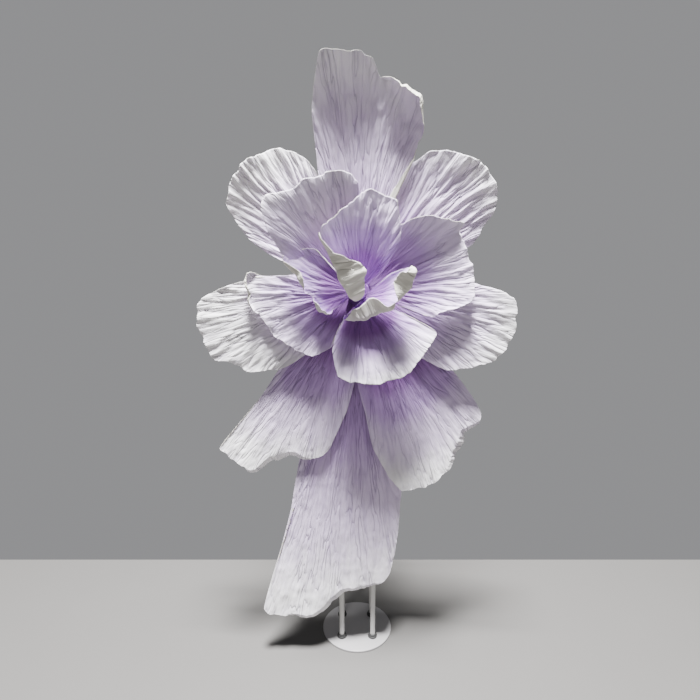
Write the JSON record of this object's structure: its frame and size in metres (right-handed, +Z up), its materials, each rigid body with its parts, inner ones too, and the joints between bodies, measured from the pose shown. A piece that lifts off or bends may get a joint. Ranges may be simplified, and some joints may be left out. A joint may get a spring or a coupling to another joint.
{
  "type": "giant paper flower",
  "caption": "Tall layered blossom of fanned, crinkled paper petals on wire ribs, carried in front of a slim four-post floor stand with a round base plate.",
  "frame": {"origin": "middle of the base plate's underside, on the floor", "axes": "+Z up, -Y out of the flower's face towards the viewer, +X to the viewer's right"},
  "size_m": [0.9841, 0.439, 1.9582],
  "materials": {
    "petal_paper": "matt crinkled paper, violet at the root fading to white at the rim",
    "rib_wire": "bright drawn wire",
    "stand_paint": "satin off-white paint",
    "plate_paint": "satin pale grey paint",
    "collar_rubber": "matt black rubber",
    "hub_timber": "turned, unvarnished",
    "bolt_steel": "zinc-plated"
  },
  "bodies": {
    "root": {"base_plate": "plate_paint", "post_front_left": "stand_paint", "foot_collar_front_left": "collar_rubber", "post_front_right": "stand_paint", "foot_collar_front_right": "collar_rubber", "post_rear_left": "stand_paint", "foot_collar_rear_left": "collar_rubber", "post_rear_right": "stand_paint", "foot_collar_rear_right": "collar_rubber", "head_plate": "stand_paint", "mounting_board": "stand_paint", "clamp_upper_left": "stand_paint", "clamp_upper_right": "stand_paint", "clamp_lower_left": "stand_paint", "clamp_lower_right": "stand_paint", "hub": "hub_timber", "hub_bolt": "bolt_steel", "petal_back_bottom": "petal_paper", "rib_back_bottom": "rib_wire", "petal_back_upper_left": "petal_paper", "rib_back_upper_left": "rib_wire", "petal_back_upper_right": "petal_paper", "rib_back_upper_right": "rib_wire", "petal_back_left": "petal_paper", "rib_back_left": "rib_wire", "petal_back_lower_right": "petal_paper", "rib_back_lower_right": "rib_wire", "petal_back_top": "petal_paper", "rib_back_top": "rib_wire", "petal_back_right": "petal_paper", "rib_back_right": "rib_wire", "petal_back_lower_left": "petal_paper", "rib_back_lower_left": "rib_wire", "petal_mid_left": "petal_paper", "rib_mid_left": "rib_wire", "petal_mid_upper_left": "petal_paper", "rib_mid_upper_left": "rib_wire", "petal_mid_bottom": "petal_paper", "rib_mid_bottom": "rib_wire", "petal_mid_right": "petal_paper", "rib_mid_right": "rib_wire", "petal_inner_left": "petal_paper", "rib_inner_left": "rib_wire", "petal_inner_top": "petal_paper", "rib_inner_top": "rib_wire", "petal_inner_right": "petal_paper", "rib_inner_right": "rib_wire", "petal_inner_curl": "petal_paper", "rib_inner_curl": "rib_wire"}
  },
  "joints": []
}
